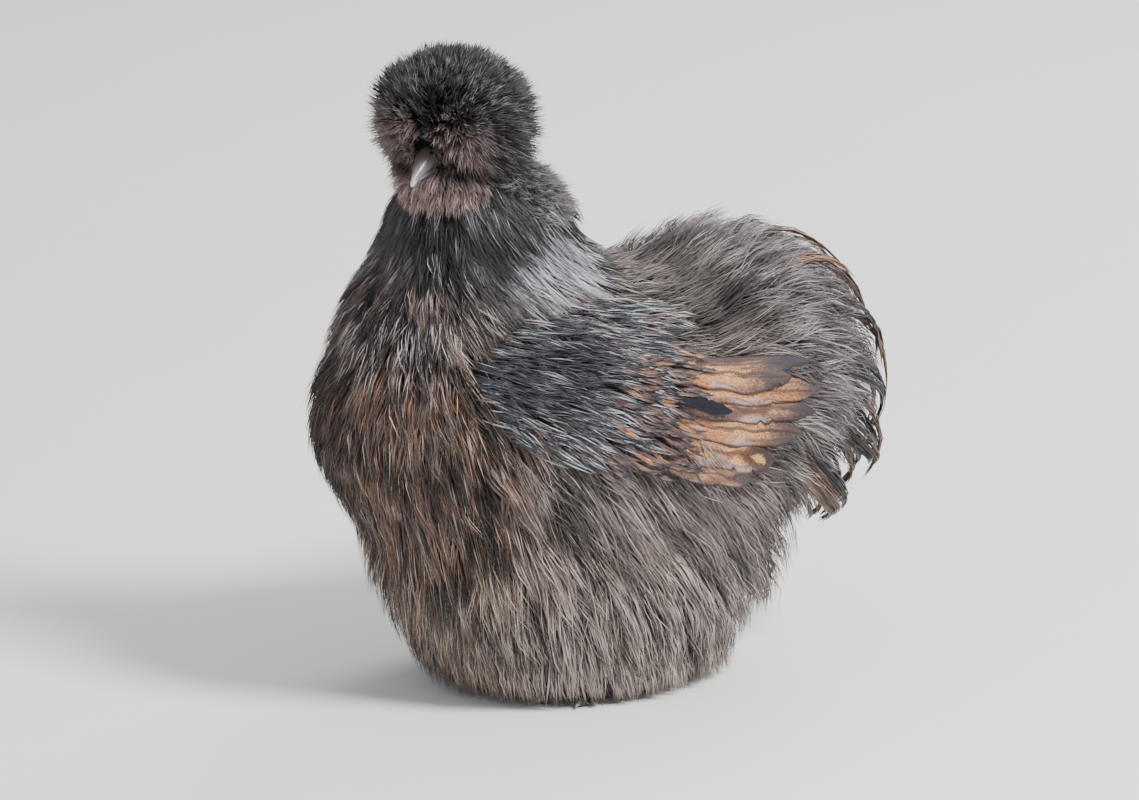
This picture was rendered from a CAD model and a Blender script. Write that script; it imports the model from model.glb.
"""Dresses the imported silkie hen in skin, coat, wing feathers, plumes, beak, eyes and feet, on a stage.

Forms are given in millimetres over the point on the floor between the hen's feet. She faces -Y with her left
side at +X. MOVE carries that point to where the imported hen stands.
"""

import math
from typing import NamedTuple

import bmesh
import bpy
import numpy as np
from bpy.props import FloatProperty, FloatVectorProperty, PointerProperty
from mathutils import Matrix, Vector
from mathutils.bvhtree import BVHTree


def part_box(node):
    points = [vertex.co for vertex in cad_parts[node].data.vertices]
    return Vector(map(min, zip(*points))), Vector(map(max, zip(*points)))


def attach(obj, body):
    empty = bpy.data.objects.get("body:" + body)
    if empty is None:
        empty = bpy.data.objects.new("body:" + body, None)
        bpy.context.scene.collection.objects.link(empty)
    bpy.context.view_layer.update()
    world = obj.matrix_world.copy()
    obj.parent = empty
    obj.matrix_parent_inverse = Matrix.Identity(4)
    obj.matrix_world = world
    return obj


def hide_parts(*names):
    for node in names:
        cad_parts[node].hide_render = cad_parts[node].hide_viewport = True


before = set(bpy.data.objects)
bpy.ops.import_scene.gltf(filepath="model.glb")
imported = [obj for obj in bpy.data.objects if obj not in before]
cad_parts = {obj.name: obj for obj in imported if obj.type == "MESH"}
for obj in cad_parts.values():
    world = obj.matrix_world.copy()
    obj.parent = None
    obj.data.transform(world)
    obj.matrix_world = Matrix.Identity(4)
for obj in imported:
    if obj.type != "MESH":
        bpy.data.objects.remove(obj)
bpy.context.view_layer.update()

bl_info = {
    "name": "Silkie hen",
    "version": (1, 0, 0),
    "blender": (4, 5, 0),
    "location": "3D View > Sidebar > Hen",
    "description": "Skin, coat, feathers and stage for a silkie hen",
    "category": "Add Mesh",
}

MM = 0.001
# The middle of the skull, turned to her left and tipped down.
HEAD_TURN = (
    Matrix.Translation(Vector((5.0, -77.0, 277.0)) * MM)
    @ Matrix.Rotation(math.radians(26.0), 4, "Z")
    @ Matrix.Rotation(math.radians(12.0), 4, "X")
)
EYE_PLACE = Vector((10.6, -8.5, 2.0)) * MM
EYE_RADIUS = 4.5
LID_RADIUS, LID_THICK, LID_OUT = 5.0, 1.3, 2.4
BEAK_ROOT = Vector((0, -20.5, 0)) * MM
BEAK_AIM = HEAD_TURN.to_3x3() @ Vector((0, -1, 0))
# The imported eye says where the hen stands.
EYE_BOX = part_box("eye_left")
MOVE = (EYE_BOX[0] + EYE_BOX[1]) / 2 - HEAD_TURN @ EYE_PLACE
HEAD = Matrix.Translation(MOVE) @ HEAD_TURN
SIDES = ((1, "left"), (-1, "right"))
# The unwrap that the coat takes over from the skin, and how much of it a strand covers.
BAKE_MAP = "OFBake"
PATCH = 0.003


def by_head(x, y, z):
    """A place given from the middle of the skull, in millimetres."""
    return tuple(HEAD_TURN @ (Vector((x, y, z)) * MM) / MM)


def eye_place(side, out=0.0):
    """The middle of an eye in the head's own frame, in metres, or a place some millimetres outside it."""
    return Vector((EYE_PLACE.x * side + side * out * MM, EYE_PLACE.y, EYE_PLACE.z))


def eye_aim(side):
    """The way that an eye looks, with the head turned."""
    return (HEAD_TURN.to_3x3() @ Vector((side, -0.25, 0.05))).normalized()


# The flesh, and the surface that the tips of the coat reach: centre and half sizes of each ellipsoid. Only
# HEAD_FLESH is given in the head's own frame.
FLESH = [
    ((0, -20, 135), (72, 98, 58)),
    ((0, -52, 172), (50, 58, 58)),
    ((0, -56, 215), (32, 32, 40)),
    ((1, -58, 250), (22, 22, 29)),
    ((0, 2, 120), (63, 92, 44)),
    ((37, -7, 72), (30, 46, 43)),
    ((-37, -7, 72), (30, 46, 43)),
    ((0, 92, 142), (50, 46, 48)),
    ((0, 38, 160), (44, 55, 28)),
]
COAT = [
    ((0, -22, 135), (90, 118, 75)),
    ((0, -54, 168), (68, 75, 66)),
    ((0, -56, 222), (44, 47, 44)),
    ((0, 5, 73), (95, 112, 92)),
    ((0, 94, 137), (82, 74, 78)),
    ((0, 35, 160), (56, 58, 35)),
    ((6, -46, 232), (29, 33, 24)),
]
HEAD_FLESH = [((0, 3, 1), (15.5, 20, 14.5)), ((0, -9, -3), (11.5, 13.5, 10.5)), ((0, 5, -12), (11, 13, 15))]
CREST_FLESH = [(by_head(0, 7, 12), (21, 22, 19))]
CREST_COAT = [((4, -73, 288), (44, 42, 34)), ((6, -68, 270), (36, 34, 20))]
BEARD_FLESH = [(by_head(0, -6, -17), (14, 11, 14))]
BEARD_COAT = [(by_head(0, -7, -17), (33, 27, 29))]
MUFF_COAT = [((3, -55, 240), (40, 40, 23)), ((7, -48, 237), (37, 38, 21))]
FACE_COAT = [(by_head(0, 1, 0), (21, 23, 20)), (by_head(0, -8, -3), (16, 16, 15))]
# How softly the ellipsoids of one surface run into each other.
BLEND = 7.0

# Which way the coat lies: a place, its reach, and a direction. Those of body and wing hold on both sides.
BODY_LIE = [
    ((0, -57, 240), 40, (0, 0.1, -1)),
    ((0, -120, 160), 60, (0, 0.15, -1)),
    ((46, -36, 205), 26, (0.3, 0.2, -1)),
    ((85, -60, 150), 50, (0.1, 0.55, -0.85)),
    ((80, 0, 100), 50, (0.15, 0.75, -0.65)),
    ((75, -10, 50), 50, (0.25, 0.25, -1)),
    ((0, 0, 200), 45, (0, 1, -0.05)),
    ((60, 0, 180), 45, (0.2, 1, -0.3)),
    ((0, 46, 198), 26, (0, 0.4, 1)),
    ((46, 52, 188), 24, (0.15, 0.35, 1)),
    ((40, 76, 206), 24, (0.1, 0.6, 0.9)),
    ((0, 105, 218), 40, (0, 1, 0.05)),
    ((0, 165, 150), 45, (0, 0.3, -1)),
    ((75, 100, 150), 40, (0.1, 1, -0.12)),
    ((70, 135, 120), 40, (0.0, 0.7, -0.75)),
    ((0, 120, 70), 45, (0, 0.6, -0.8)),
    ((0, 0, 40), 60, (0, 0, -1)),
]
# Places in the head's own frame: what the crest leans away from, its parting, and the puff over each brow.
CREST_MIDDLE = (0.0, -36.0, 8.0)
PARTING_X = 5.0
BROW_MIDDLE, BROW_REACH = (20.0, -25.0, 9.0), 22.0
BEARD_LIE = [
    (by_head(0, -30, -20), 30, (0.05, -0.2, -1)),
    (by_head(25, 0, -15), 18, (1, 0.2, -0.4)),
    (by_head(-25, 0, -15), 18, (-1, 0.2, -0.4)),
]
FACE_LIE = [
    (by_head(14, -12, 0), 14, (0.9, 0.8, -0.5)),
    (by_head(-14, -12, 0), 14, (-0.6, 0.8, -0.5)),
]
MUFF_LIE = [
    ((10, -10, 245), 25, (0.0, 0.6, -0.5)),
    ((45, -45, 240), 25, (0.9, 0.5, -0.5)),
    ((-45, -60, 240), 25, (-0.9, 0.3, -0.5)),
]
COVERT_LIE = [
    ((75, -60, 185), 30, (0.1, 1, -0.35)),
    ((85, -60, 140), 30, (0.1, 1, -0.8)),
    ((85, 0, 175), 40, (0.1, 1, -0.6)),
    ((85, 20, 130), 40, (0.1, 1, -0.6)),
]

# A tuft from root to tip: how far along, how far out from flesh to coat, and its width and thickness.
LONG = ((0.0, 0.0, 0.7, 0.8), (0.32, 0.55, 1.0, 1.0), (0.66, 0.9, 0.85, 0.85), (1.0, 1.0, 0, 0))
SHORT = ((0.0, 0.0, 0.7, 0.7), (0.34, 0.42, 1.0, 1.0), (0.7, 0.8, 0.8, 0.8), (1.0, 1.0, 0, 0))
CURLED = (
    (0.0, 0.0, 0.5, 0.5),
    (0.22, 0.5, 1.0, 1.0),
    (0.42, 0.86, 1.0, 1.0),
    (0.6, 0.98, 1.0, 1.0),
    (0.76, 1.0, 0.95, 0.9),
    (0.9, 1.0, 0.7, 0.7),
    (1.0, 1.0, 0, 0),
)


class Kind(NamedTuple):
    """How one kind of tuft is made, in millimetres and radians.

    A tuft is longer where the coat is deeper. Its strands stand a clump apart and gather to a share of that
    at the point. It sways from the lie, its strands frizz, and shares says how near its tip comes to the
    surface of the coat.
    """

    strands: int
    width: float
    length: float
    longer: float
    clump: float
    point: float
    sway: float
    frizz: float
    shares: tuple
    shape: tuple = LONG


KINDS = {
    "crest": Kind(8, 0.46, 6.0, 0.2, 3.0, 1.1, 0.3, 1.0, (0.68, 1.07), SHORT),
    "beard": Kind(8, 0.48, 11.0, 0.3, 3.0, 0.9, 0.3, 0.8, (0.6, 1.03), SHORT),
    "muff": Kind(9, 0.5, 9.0, 0.15, 3.4, 1.0, 0.35, 1.2, (0.66, 1.08), SHORT),
    "hackle": Kind(9, 0.43, 38.0, 0.4, 3.2, 0.35, 0.14, 0.9, (0.75, 1.04)),
    "breast": Kind(9, 0.56, 29.0, 0.5, 4.6, 0.4, 0.17, 0.9, (0.7, 1.05)),
    "fluff": Kind(12, 0.56, 36.0, 0.6, 6.2, 0.5, 0.17, 1.2, (0.68, 1.05)),
    "tail": Kind(11, 0.54, 28.0, 0.45, 6.0, 0.9, 0.24, 1.7, (0.6, 1.08)),
    "skirt": Kind(12, 0.6, 30.0, 0.4, 5.0, 0.4, 0.2, 1.4, (0.78, 1.03)),
    "covert": Kind(7, 0.72, 22.0, 0.25, 2.9, 0.2, 0.12, 0.4, (1.02, 1.14)),
    "plume": Kind(12, 0.85, 0.0, 0.0, 2.4, 0.12, 0.2, 0.7, (1.0, 1.12), CURLED),
    "face": Kind(6, 0.34, 5.0, 0.2, 1.8, 0.9, 0.5, 0.8, (0.5, 1.0), SHORT),
    "foot": Kind(7, 0.5, 0.0, 0.0, 1.8, 0.6, 0.2, 0.8, (1.0, 1.0)),
}
# Each coat piece: its kind, how many tufts, and the seed.
PIECES = {
    "crest_coat_left": ("crest", 1120, 1),
    "crest_coat_right": ("crest", 1120, 2),
    "beard_coat": ("beard", 760, 3),
    "muff_coat": ("muff", 660, 13),
    "face_coat": ("face", 230, 15),
    "hackle_left": ("hackle", 800, 4),
    "hackle_right": ("hackle", 800, 5),
    "breast_left": ("breast", 860, 6),
    "breast_right": ("breast", 860, 7),
    "flank_left": ("fluff", 770, 8),
    "flank_right": ("fluff", 770, 9),
    "skirt_coat": ("skirt", 460, 14),
    "back_coat": ("breast", 430, 10),
    "tail_left": ("tail", 740, 11),
    "tail_right": ("tail", 740, 12),
}
HEAD_KINDS = ("crest", "beard", "muff", "face")
# Where the crest starts, and where one part of the body's coat ends and the next begins, as heights.
CREST_LOW, NECK_LOW, TAIL_LOW, SKIRT_TOP, HEM_LOW = 257, 176, 32, 9, 4
HACKLE_TOP_BEHIND, HACKLE_TOP_AHEAD = 243, 231
# The same along the body: where the tail begins, and the point and slope of the wedge that is the breast.
TAIL_FRONT, WEDGE_POINT, WEDGE_SLOPE = 70, -20.0, 0.62
# How low tips and strands may reach, how ragged that edge is, and how deep roots sit in the flesh.
TIP_LOW, STRAND_LOW, STRAND_SCATTER, ROOT_DEPTH = 1.5, 0.8, 1.5, 1.2
# How the lengths of tufts and the widths of strands vary.
LENGTH_RANGE, WIDTH_RANGE = (0.8, 1.2), (0.7, 1.35)
# A strand's height over its base against its width, and how far it leans to either side.
RIDGE, LEAN = 0.55, 0.5
# How far a skirt tuft hangs lower, from root to tip.
SKIRT_HANG = (0.0, 0.0, 3.0, 8.0)
PLUMES, PLUME_LENGTHS, PLUME_LOW = 74, (70.0, 98.0), 3.0
# The rim of the tail cushion that plumes lie on: half its breadth, and its middle and half sizes as Y and Z.
RIM_BREADTH, RIM_MIDDLE, RIM_HALF = 56.0, (98, 139), (72, 80)

COVERT_TUFTS = 520
# The oval of the folded wing from the side: its middle as Y and Z, how its height falls along it, from where,
# its half sizes, and how near to the body's middle it reaches.
WING_MIDDLE, WING_FALL, WING_FALL_FROM = (-10.0, 156.0), 0.08, -27.0
WING_HALF, WING_INNER = (82.0, 40.0), 30
# How far aside a feather's path starts, before it settles on its level.
WING_START = 80.0
# Smooth wing feathers from the top down: root and tip as Y and Z, half the width, how far out it lies, and
# how orange it is, from dark at -1 to full at 1.
FLIGHT_FEATHERS = (
    ((-6, 177), (84, 158), 4.4, 1.04, 0.3),
    ((-8, 173), (72, 152), 7.6, 1.03, 0.85),
    ((-12, 164), (86, 144), 7.4, 1.02, 0.9),
    ((-14, 156), (84, 134), 7.0, 1.01, 0.35),
    ((-16, 147), (78, 124), 8.2, 1.0, 0.7),
    ((-18, 139), (63, 113), 8.8, 0.98, 1.0),
    ((-24, 131), (44, 105), 5.4, 0.96, 0.5),
    ((-22, 165), (30, 141), 3.6, 1.12, -1.0),
)
# The middle coverts: how many, where their roots lie as lowest and highest Y and Z, length, drop in degrees,
# half width and level. Then how orange they are, and how far back roots lie for each rise over one height.
MIDDLE_COVERTS = (104, (-48, 0), (130, 188), (17, 28), (26, 48), (0.9, 1.8), (0.98, 1.08))
MIDDLE_GLOWS = (-0.7, -0.4, 0.0, 0.1, 0.3, 0.65)
MIDDLE_LEAN, MIDDLE_HEIGHT, MIDDLE_RISE = 14.0, 155.0, 31.0
# How far a feather has come from flesh to coat along its length, and how many rings its path has.
VANE_LEVELS = ((0.0, 0.25, 0.5, 0.8, 1.0), (0.0, 0.72, 0.9, 1.02, 1.08))
VANE_PATH = 11
# How a feather bows down, how its barbs slant, how it tips over its neighbour in degrees, and how deep its
# root sits.
VANE_BOW, VANE_SLANT, VANE_LAP, VANE_DEPTH = 2.5, 1.1, 7.0, 3.0
# Its crown against half its width, the height of its waves and its shaft, and how thick it is.
VANE_CROWN, VANE_WAVE, VANE_SHAFT, VANE_THICK = 0.13, 0.3, 0.3, 0.4
# The rings along a smooth feather, the columns across it, and where and how sharply its tip narrows.
FLIGHT_VANE, MIDDLE_VANE = (46, 9, 0.62, 0.75), (20, 5, 0.35, 0.9)

FOOT_X = 36.0
ANKLE, HOCK, SHANK_TOP = (-8.0, 9.0), (6.0, 37.0), (9.0, 46.0)
SHANK_RADIUS, SHANK_SHAPE = 5.4, (1.2, 1.1, 0.95, 1.12)
# Each toe: its turn from straight ahead in degrees, its length, how high its end is, and its radius.
TOES = {
    "inner": (-27.0, 29.0, 0.0, 3.7),
    "middle": (2.0, 36.0, 0.0, 4.0),
    "outer": (31.0, 30.0, 0.0, 3.6),
    "hind": (-152.0, 16.0, 0.0, 3.2),
    "fifth": (-128.0, 17.0, 9.0, 3.0),
}
SCUTE, SCUTE_HEIGHT, FOOT_VOXEL = 2.5, 0.28, 0.8
FOOT_TUFTS, FOOT_TUFT_LENGTHS = 46, (9.0, 15.0)
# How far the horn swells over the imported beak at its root, and how far ahead that ends.
BEAK_SWELL, BEAK_FADE = 1.1, 16
# How near to the eye's aim it starts to bulge, and by how much.
CORNEA_FROM, CORNEA_RISE = 0.78, 2.2

ROOM_COLOUR, ROOM_STRENGTH = (0.93, 0.95, 1.0, 1.0), 0.58
# The photo's camera: how far round and up it stands in degrees, how far away in metres, the size of a pixel
# at the hen, and where the floor point lies from the middle of the picture, in pixels.
CAMERA_TURN, CAMERA_RISE, CAMERA_AWAY = 52.0, 14.0, 4.0
PIXEL, PHOTO_WIDTH, SENSOR = 0.485 * MM, 1139, 36.0
FLOOR_DOWN, FLOOR_RIGHT = 272, 0.6


def tint(name, description, default):
    """A colour that the user can change."""
    return FloatVectorProperty(name=name, description=description, subtype="COLOR", default=default)


def power(name, description, default):
    """The strength of a light, in watts."""
    return FloatProperty(name=name, description=description, unit="POWER", default=default)


class HenForm(bpy.types.PropertyGroup):
    skin_voxel: FloatProperty(
        name="Skin detail", description="Edge length of the skin's faces", default=2.0 * MM, unit="LENGTH"
    )
    fullness: FloatProperty(
        name="Coat fullness", description="Share of the full number of tufts", default=1.0, subtype="FACTOR"
    )
    strand_width: FloatProperty(
        name="Strand width", description="How wide strands are against their usual width", default=1.0
    )


class HenColours(bpy.types.PropertyGroup):
    down: tint("Body down", "Soft down of flanks and thighs", (0.215, 0.18, 0.17))
    down_streak: tint("Down streaks", "Pale strands in the down", (0.66, 0.56, 0.5))
    hackle: tint("Hackle", "Dark ground of the neck", (0.1, 0.093, 0.104))
    silver: tint("Silver streaks", "Pale strands of the neck", (0.9, 0.9, 0.97))
    breast: tint("Breast", "Dark ground of the breast", (0.125, 0.098, 0.09))
    rust: tint("Rust", "Rusty strands of the breast", (0.33, 0.155, 0.085))
    cushion: tint("Tail cushion", "Down of the tail", (0.17, 0.147, 0.148))
    cushion_streak: tint("Tail streaks", "Pale strands of the tail", (0.62, 0.565, 0.56))
    crest: tint("Crest", "Down of the crest", (0.05, 0.046, 0.05))
    muff: tint("Muffs", "Grey down behind the cheeks", (0.17, 0.155, 0.17))
    crest_low: tint("Brow and beard", "Down round the face", (0.4, 0.29, 0.27))
    covert: tint("Wing coverts", "Glossy small wing feathers", (0.09, 0.092, 0.105))
    flight: tint("Flight feathers", "Mottled wing feathers", (0.46, 0.19, 0.075))
    skin: tint("Skin", "Bare skin and feet", (0.035, 0.036, 0.045))
    horn: tint("Horn", "Root of the beak", (0.085, 0.085, 0.095))
    horn_tip: tint("Horn tip", "Tip of the beak", (0.52, 0.5, 0.45))


class HenStage(bpy.types.PropertyGroup):
    floor_radius: FloatProperty(
        name="Floor radius", description="Radius of the floor disc", default=7.0, unit="LENGTH"
    )
    floor: tint("Floor colour", "Colour of the floor", (0.92, 0.92, 0.9))
    key: power("Key light", "Strength of the key light", 118.0)
    fill: power("Fill light", "Strength of the fill light", 6.0)
    rim: power("Rim light", "Strength of the light behind", 30.0)


# Fields between flesh and coat


def distance(points, forms, blend):
    """Roughly the signed distance, in millimetres, from each point to the blended ellipsoids."""
    found = []
    for centre, half in forms:
        local = points - np.array(centre, float)
        k0 = np.linalg.norm(local / half, axis=1)
        k1 = np.linalg.norm(local / np.array(half, float) ** 2, axis=1)
        found.append(k0 * (k0 - 1.0) / np.maximum(k1, 1e-6))
    found = np.array(found)
    low = found.min(axis=0)
    return low - blend * np.log(np.exp((low - found) / blend).sum(axis=0))


def unit_rows(rows):
    return rows / np.maximum(np.linalg.norm(rows, axis=-1), 1e-9)[..., None]


def gradient(field, points, step=0.2):
    columns = []
    for axis in range(3):
        shift = np.zeros(3)
        shift[axis] = step
        columns.append((field(points + shift) - field(points - shift)) / (2 * step))
    return np.stack(columns, axis=1)


def settled(field, points, rounds=4, largest=12.0):
    """Moves each point onto the field's zero surface."""
    for _ in range(rounds):
        grade = gradient(field, points)
        fall = field(points) / np.maximum((grade**2).sum(axis=1), 1e-3)
        points = points - grade * np.clip(fall, -largest, largest)[:, None]
    return points


class Pelt:
    """The flesh, the surface that the coat reaches, and the way that the coat lies between them."""

    def __init__(self, flesh, coat, lie, mirrored=False):
        self.flesh = flesh
        self.coat = coat
        self.lie = []
        for place, reach, direction in lie:
            unit = np.array(direction, float)
            unit /= np.linalg.norm(unit)
            self.lie.append((np.array(place, float), reach, unit))
            if mirrored and place[0]:
                flip = np.array((-1.0, 1.0, 1.0))
                self.lie.append((np.array(place) * flip, reach, unit * flip))

    def level(self, points, share):
        inner = distance(points, self.flesh, BLEND)
        outer = distance(points, self.coat, BLEND)
        return (1.0 - share) * inner + share * outer

    def settle(self, points, share, rounds=4):
        """Moves each point onto its level, and returns the points and their outward normals."""

        def field(at):
            return self.level(at, share)

        points = settled(field, points, rounds)
        return points, unit_rows(gradient(field, points))

    def combed(self, points, normals):
        """The direction in which the coat lies at each point, along the surface."""
        total = np.zeros_like(points)
        for place, reach, direction in self.lie:
            weight = np.exp(-((points - place) ** 2).sum(axis=1) / (2 * reach**2)) + 1e-9
            total += weight[:, None] * direction
        total = unit_rows(total)
        return total - normals * (total * normals).sum(axis=1)[:, None]


class CrestPelt(Pelt):
    """The crest's lie: a puff over each brow, and behind them strands that lean away from the beak."""

    def combed(self, points, normals):
        local = head_space(points)
        total = local - np.array(CREST_MIDDLE)
        total = total / np.maximum(np.linalg.norm(total, axis=1), 14.0)[:, None]
        out, reach = from_brow(local)
        inside = np.clip((1.1 - reach) / 0.2, 0.0, 1.0)[:, None]
        total = total * (1.0 - inside) + (out * reach[:, None] - (0, 0.15, 0.2)) * inside
        x = local[:, 0] - PARTING_X
        ahead = np.clip(-local[:, 1] / 20.0, 0.0, 1.0) * np.exp(-((x / 7.0) ** 2))
        total[:, 0] += np.sign(x) * ahead * 1.2
        total = total @ np.array(HEAD_TURN.to_3x3()).T
        total = total - normals * (total * normals).sum(axis=1)[:, None]
        return total / np.maximum(np.linalg.norm(total, axis=1), 1.0)[:, None]


def from_brow(local):
    """For places in the head's frame, the direction from the nearer brow puff's middle, and how far away."""
    side = np.where(local[:, 0] > PARTING_X, 1.0, -1.0)[:, None]
    away = local - np.array(BROW_MIDDLE) * np.hstack([side, side**2, side**2])
    reach = np.linalg.norm(away, axis=1)
    return away / np.maximum(reach, 1e-6)[:, None], reach / BROW_REACH


def crest_groove(local):
    """How far a place lies in the parting or in the groove behind the brow puffs, from 0 to 1."""
    _, reach = from_brow(local)
    front = np.clip(-local[:, 1] / 8.0, 0.0, 1.0)
    high = np.clip((local[:, 2] - 8) / 8.0, 0.25, 1.0)
    parting = np.exp(-(((local[:, 0] - PARTING_X) / 3.2) ** 2)) * (local[:, 2] < 36) * high
    behind = np.exp(-(((reach - 1.14) / 0.13) ** 2)) * (local[:, 2] > 4)
    return front * np.maximum(parting, behind * 0.8)


BODY = Pelt(FLESH, COAT, BODY_LIE, mirrored=True)
CREST = CrestPelt(CREST_FLESH, CREST_COAT, [])
BEARD = Pelt(BEARD_FLESH, BEARD_COAT, BEARD_LIE)
WING = Pelt(FLESH, COAT, COVERT_LIE, mirrored=True)
MUFF = Pelt(FLESH[2:4], MUFF_COAT, MUFF_LIE)
FACE = Pelt([(by_head(*centre), half) for centre, half in HEAD_FLESH], FACE_COAT, FACE_LIE)


def head_space(points):
    """Points in millimetres, seen from the middle of the skull."""
    return (points - np.array(HEAD_TURN.translation) / MM) @ np.array(HEAD_TURN.to_3x3())


def under_wing(points):
    """How far each point lies under the folded wing, from 0 outside it to 1."""
    x, y, z = points.T
    middle = WING_MIDDLE[1] - WING_FALL * (y - WING_FALL_FROM)
    away = np.hypot((y - WING_MIDDLE[0]) / WING_HALF[0], (z - middle) / WING_HALF[1])
    return np.clip((1.08 - away) / 0.16, 0.0, 1.0) * (np.abs(x) > WING_INNER)


def on_piece(name, points):
    """Which of the points on the outer surface belong to a coat piece."""
    x, y, z = points.T
    left = x >= 0 if name.endswith("left") else x < 0
    front = -(y - WEDGE_POINT) > WEDGE_SLOPE * np.abs(x)
    nape = 5 - 0.1 * z
    if name.startswith("hackle"):
        local = head_space(points)
        behind = (local[:, 1] > -4) | (np.abs(local[:, 0]) > 24)
        top = np.where(behind, HACKLE_TOP_BEHIND, HACKLE_TOP_AHEAD)
        return left & (z > NECK_LOW) & (z < top) & (y < nape)
    if name.startswith("breast"):
        return left & (z <= NECK_LOW) & front & (z > HEM_LOW)
    if name.startswith("flank"):
        return left & (z <= NECK_LOW) & ~front & ((y <= TAIL_FRONT) | (z < TAIL_LOW)) & (z > HEM_LOW)
    if name == "skirt_coat":
        return z < SKIRT_TOP
    if name == "back_coat":
        return (z > NECK_LOW) & (y >= nape) & (y <= TAIL_FRONT)
    return left & (y > TAIL_FRONT) & (z >= TAIL_LOW)


def chance(points):
    """A number from 0 to 1 that depends on the place alone, for thinning the coat out evenly."""
    return np.modf(np.abs(np.sin(points @ np.array((12.99, 78.23, 37.72)))) * 4375.85)[0]


def surface_places(pelt, count, seed, wanted, batch=4000):
    """Places spread by area over the outer surface of a coat, where wanted says so."""
    rng = np.random.default_rng(seed)
    kept, total = [], 0
    halves = [np.array(half, float) for _, half in pelt.coat]
    areas = np.array([(h[0] * h[1] + h[1] * h[2] + h[2] * h[0]) for h in halves])
    while total < count:
        which = rng.choice(len(areas), batch, p=areas / areas.sum())
        ball = unit_rows(rng.normal(size=(batch, 3)))
        half = np.array(halves)[which]
        stretch = np.linalg.norm(ball / half, axis=1) * half.prod(axis=1) ** (1 / 3)
        keep = rng.random(batch) < stretch / stretch.max()
        places = np.array([c for c, _ in pelt.coat], float)[which] + ball * half
        places = places[keep]
        away = np.array([distance(places, [form], 1.0) for form in pelt.coat])
        places = places[away.argmin(axis=0) == which[keep]]
        places, _ = pelt.settle(places, np.ones(len(places)), 3)
        places = places[(places[:, 2] > TIP_LOW) & wanted(places)]
        kept.append(places)
        total += len(places)
    return np.concatenate(kept)[:count]


def lay_back(pelt, tips, shares, lengths, turns, shape):
    """Walks each tuft from its tip back to its root on the flesh, against the lie."""
    points, normals = pelt.settle(tips, shares * shape[-1][1])
    rows, outs = [points], [normals]
    for after, before in zip(shape[::-1], shape[-2::-1]):
        lie = pelt.combed(points, normals)
        side = np.cross(normals, lie)
        lie = lie * np.cos(turns)[:, None] + side * np.sin(turns)[:, None]
        step = (after[0] - before[0]) * lengths
        points, normals = pelt.settle(points - lie * step[:, None], shares * before[1], 3)
        rows.append(points)
        outs.append(normals)
    rows[-1] = rows[-1] - outs[-1] * ROOT_DEPTH
    return np.stack(rows[::-1], axis=1), np.stack(outs[::-1], axis=1)


def axes_along(paths, outs):
    """For each ring of each path, the direction across it and the direction out of it."""
    ahead = unit_rows(np.gradient(paths, axis=1))
    across = unit_rows(np.cross(ahead, outs))
    return ahead, across, np.cross(across, ahead)


def spread_tufts(kind, paths, outs, rng):
    """Splits each tuft into strands that part, gather again and curl."""
    tufts, rings = paths.shape[:2]
    along = np.array([ring[0] for ring in kind.shape])
    _, across, out = axes_along(paths, outs)
    count = kind.strands
    reach = rng.uniform(0.74, 1.0, (tufts, count, 1)) * along
    flat = np.eye(rings)
    weights = np.stack([np.interp(reach, along, flat[k]) for k in range(rings)], axis=-1)
    spine = np.einsum("tsrk,tkc->tsrc", weights, paths)
    gather = np.interp(reach, (0, 0.35, 0.75, 1.0), (0.4, 1.0, 0.8, kind.point))
    offset = rng.normal(0, 0.5, (2, tufts, count, 1)) * kind.clump
    phase = rng.uniform(0, 2 * math.pi, (2, tufts, count, 1))
    bend = kind.frizz * reach**1.5
    wave_a = np.sin(phase[0] + reach * 5.0) * bend
    wave_b = np.cos(phase[1] + reach * 4.0) * bend * 0.6
    a = offset[0] * gather + wave_a
    b = offset[1] * gather * 0.45 + wave_b
    spine = spine + across[:, None] * a[..., None] + out[:, None] * b[..., None]
    return spine, np.broadcast_to(outs[:, None], spine.shape)


# Making meshes


def deselect():
    if bpy.context.object and bpy.context.object.mode != "OBJECT":
        bpy.ops.object.mode_set(mode="OBJECT")
    bpy.ops.object.select_all(action="DESELECT")


def select_only(*objects):
    deselect()
    for obj in objects:
        obj.select_set(True)
    bpy.context.view_layer.objects.active = objects[-1]


def apply_modifier(obj, kind, **settings):
    """Adds one modifier with its settings and applies it."""
    select_only(obj)
    modifier = obj.modifiers.new(kind.title(), kind)
    for key, value in settings.items():
        setattr(modifier, key, value)
    bpy.ops.object.modifier_apply(modifier=modifier.name)


def settle_object(obj, name):
    """Puts the object's place into its mesh and names it."""
    select_only(obj)
    bpy.ops.object.transform_apply(location=True, rotation=True, scale=True)
    obj.name = obj.data.name = name
    return obj


def dress(obj, material, slot, *nodes):
    """Gives a finished piece its material, its body and the nodes it stands for."""
    obj.data.materials.clear()
    obj.data.materials.append(material)
    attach(obj, "root")
    if nodes:
        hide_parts(*nodes)


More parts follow.
